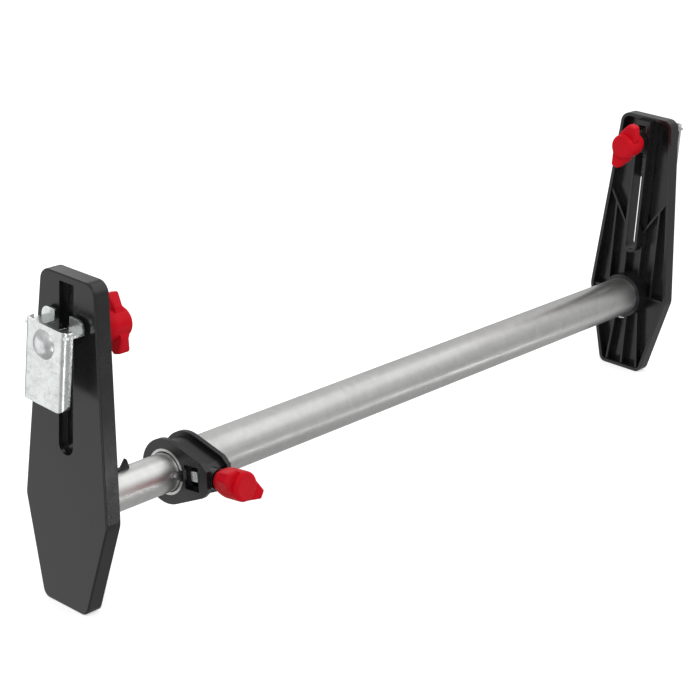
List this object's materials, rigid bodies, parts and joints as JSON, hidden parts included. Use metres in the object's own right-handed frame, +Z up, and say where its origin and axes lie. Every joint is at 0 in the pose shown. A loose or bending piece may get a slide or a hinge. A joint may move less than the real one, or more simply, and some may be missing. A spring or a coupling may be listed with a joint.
{
  "type": "bed cargo bar",
  "caption": "Telescopic bar of round steel tubes with black end pads, sliding edge clamps with wing knobs, and a lock collar with a wing screw.",
  "frame": {"origin": "on the tubes' axis, at the plain panel of the left pad's outer face", "axes": "+X along the bar to the right pad, +Z up towards the pads' long ends"},
  "size_m": [0.7618, 0.1133, 0.2452],
  "materials": {
    "pad_plastic": "fine satin moulded black",
    "collar_plastic": "satin moulded black",
    "red_plastic": "semi-gloss moulded red",
    "outer_tube_steel": "galvanised satin",
    "inner_tube_steel": "galvanised satin",
    "zinc_plate": "bright zinc plated pressing",
    "zinc_hardware": "bright zinc plated",
    "spring_steel": "zinc plated wire",
    "insert_brass": "turned",
    "glide_plastic": "moulded"
  },
  "bodies": {
    "outer_half": {"right_end_pad": "pad_plastic", "outer_tube": "outer_tube_steel", "right_tube_screw": "zinc_hardware", "lock_collar": "collar_plastic", "collar_nut": "zinc_hardware"},
    "inner_half": {"left_end_pad": "pad_plastic", "inner_tube": "inner_tube_steel", "left_tube_screw": "zinc_hardware", "inner_tube_glide": "glide_plastic"},
    "left_clamp_carriage": {"left_clamp_washer": "collar_plastic"},
    "left_clamp_swivel": {"left_clamp_spring": "spring_steel"},
    "left_jaw": {"left_clamp_jaw": "zinc_plate", "left_clamp_bolt": "zinc_hardware"},
    "left_knob": {"left_clamp_knob": "red_plastic", "left_knob_insert": "insert_brass"},
    "right_clamp_carriage": {"right_clamp_washer": "collar_plastic"},
    "right_clamp_swivel": {"right_clamp_spring": "spring_steel"},
    "right_jaw": {"right_clamp_jaw": "zinc_plate", "right_clamp_bolt": "zinc_hardware"},
    "right_knob": {"right_clamp_knob": "red_plastic", "right_knob_insert": "insert_brass"},
    "lock_shoe": {"collar_pressure_shoe": "zinc_hardware"},
    "lock_screw": {"collar_screw": "zinc_hardware", "collar_knob": "red_plastic"}
  },
  "joints": [
    {"name": "bar_extension", "type": "slide", "parent": "outer_half", "child": "inner_half", "axis": [-1, 0, 0], "range_m": [-0.036, 0.38]},
    {"name": "left_clamp_height", "type": "slide", "parent": "inner_half", "child": "left_clamp_carriage", "axis": [0, 0, 1], "range_m": [-0.0782, 0.0314]},
    {"name": "left_jaw_swivel", "type": "hinge", "parent": "left_clamp_carriage", "child": "left_clamp_swivel", "pos_m": [0, 0, 0.1274], "axis": [1, 0, 0], "continuous": true},
    {"name": "left_jaw_travel", "type": "slide", "parent": "left_clamp_swivel", "child": "left_jaw", "axis": [1, 0, 0], "range_m": [-0.008, 0.0022], "deforming": ["left_clamp_spring"]},
    {"name": "left_knob_turn", "type": "hinge", "parent": "left_clamp_carriage", "child": "left_knob", "pos_m": [0, 0, 0.1274], "axis": [1, 0, 0], "range_deg": [-2305, 634.5]},
    {"name": "right_clamp_height", "type": "slide", "parent": "outer_half", "child": "right_clamp_carriage", "axis": [0, 0, 1], "range_m": [-0.0995, 0.0101]},
    {"name": "right_jaw_swivel", "type": "hinge", "parent": "right_clamp_carriage", "child": "right_clamp_swivel", "pos_m": [0.712, 0, 0.1487], "axis": [-1, 0, 0], "continuous": true},
    {"name": "right_jaw_travel", "type": "slide", "parent": "right_clamp_swivel", "child": "right_jaw", "axis": [-1, 0, 0], "range_m": [-0.008, 0.0022], "deforming": ["right_clamp_spring"]},
    {"name": "right_knob_turn", "type": "hinge", "parent": "right_clamp_carriage", "child": "right_knob", "pos_m": [0.712, 0, 0.1487], "axis": [-1, 0, 0], "range_deg": [-2305, 634.5]},
    {"name": "lock_screw_travel", "type": "slide", "parent": "outer_half", "child": "lock_shoe", "axis": [0, -0.9925, 0.1219], "range_m": [0, 0.004]},
    {"name": "lock_screw_turn", "type": "hinge", "parent": "lock_shoe", "child": "lock_screw", "pos_m": [0.1065, 0, 0], "axis": [0, -0.9925, 0.1219], "range_deg": [-0.5, 1153]}
  ],
  "couplings": [
    {"joint": "left_knob_turn", "follows": "left_jaw_travel", "rad_per_m": 5026.5},
    {"joint": "right_knob_turn", "follows": "right_jaw_travel", "rad_per_m": 5026.5},
    {"joint": "lock_screw_turn", "follows": "lock_screw_travel", "rad_per_m": 5026.5}
  ]
}
